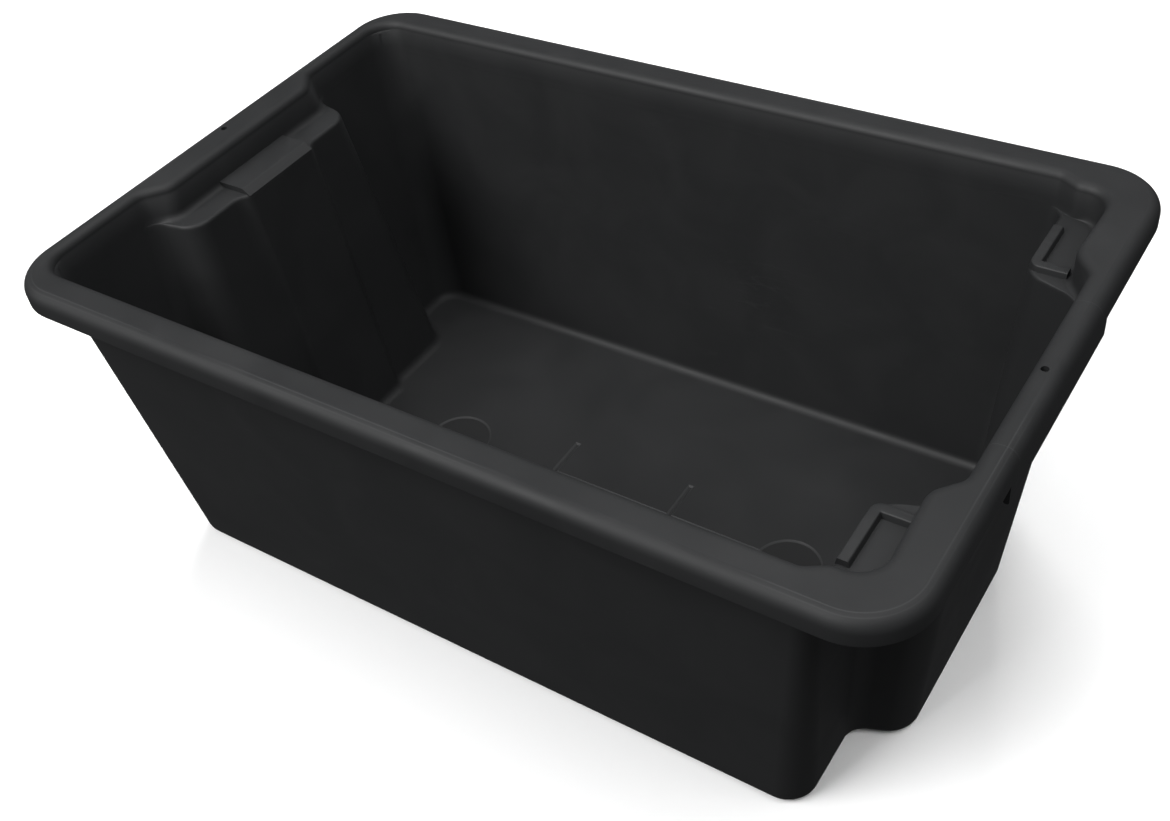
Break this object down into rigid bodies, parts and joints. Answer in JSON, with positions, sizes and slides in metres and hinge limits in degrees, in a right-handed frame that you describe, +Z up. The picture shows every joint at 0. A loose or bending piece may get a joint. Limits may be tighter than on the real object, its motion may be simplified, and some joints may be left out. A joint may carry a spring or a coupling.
{
  "type": "mixing tub",
  "caption": "Deep rectangular one-piece plastic mixing tub with a broad rolled rim, end handles, an inset end wall and inner ledges, so it nests one way round and stacks the other.",
  "frame": {"origin": "centre of the underside, on the ground", "axes": "+X along the length towards the end whose middle stands out as a post, +Y across towards the back, +Z up"},
  "size_m": [0.61, 0.397, 0.2485],
  "materials": {
    "tub": "moulded black plastic, fine grain, scuffed, semi-matt"
  },
  "bodies": {
    "root": {"floor_panel": "tub", "front_wall": "tub", "back_wall": "tub", "left_end_wall": "tub", "right_post": "tub", "front_pillar": "tub", "back_pillar": "tub", "stacking_shelf": "tub", "front_ledge": "tub", "back_ledge": "tub", "rim_front": "tub", "rim_back": "tub", "left_handle": "tub", "right_handle": "tub"}
  },
  "joints": []
}
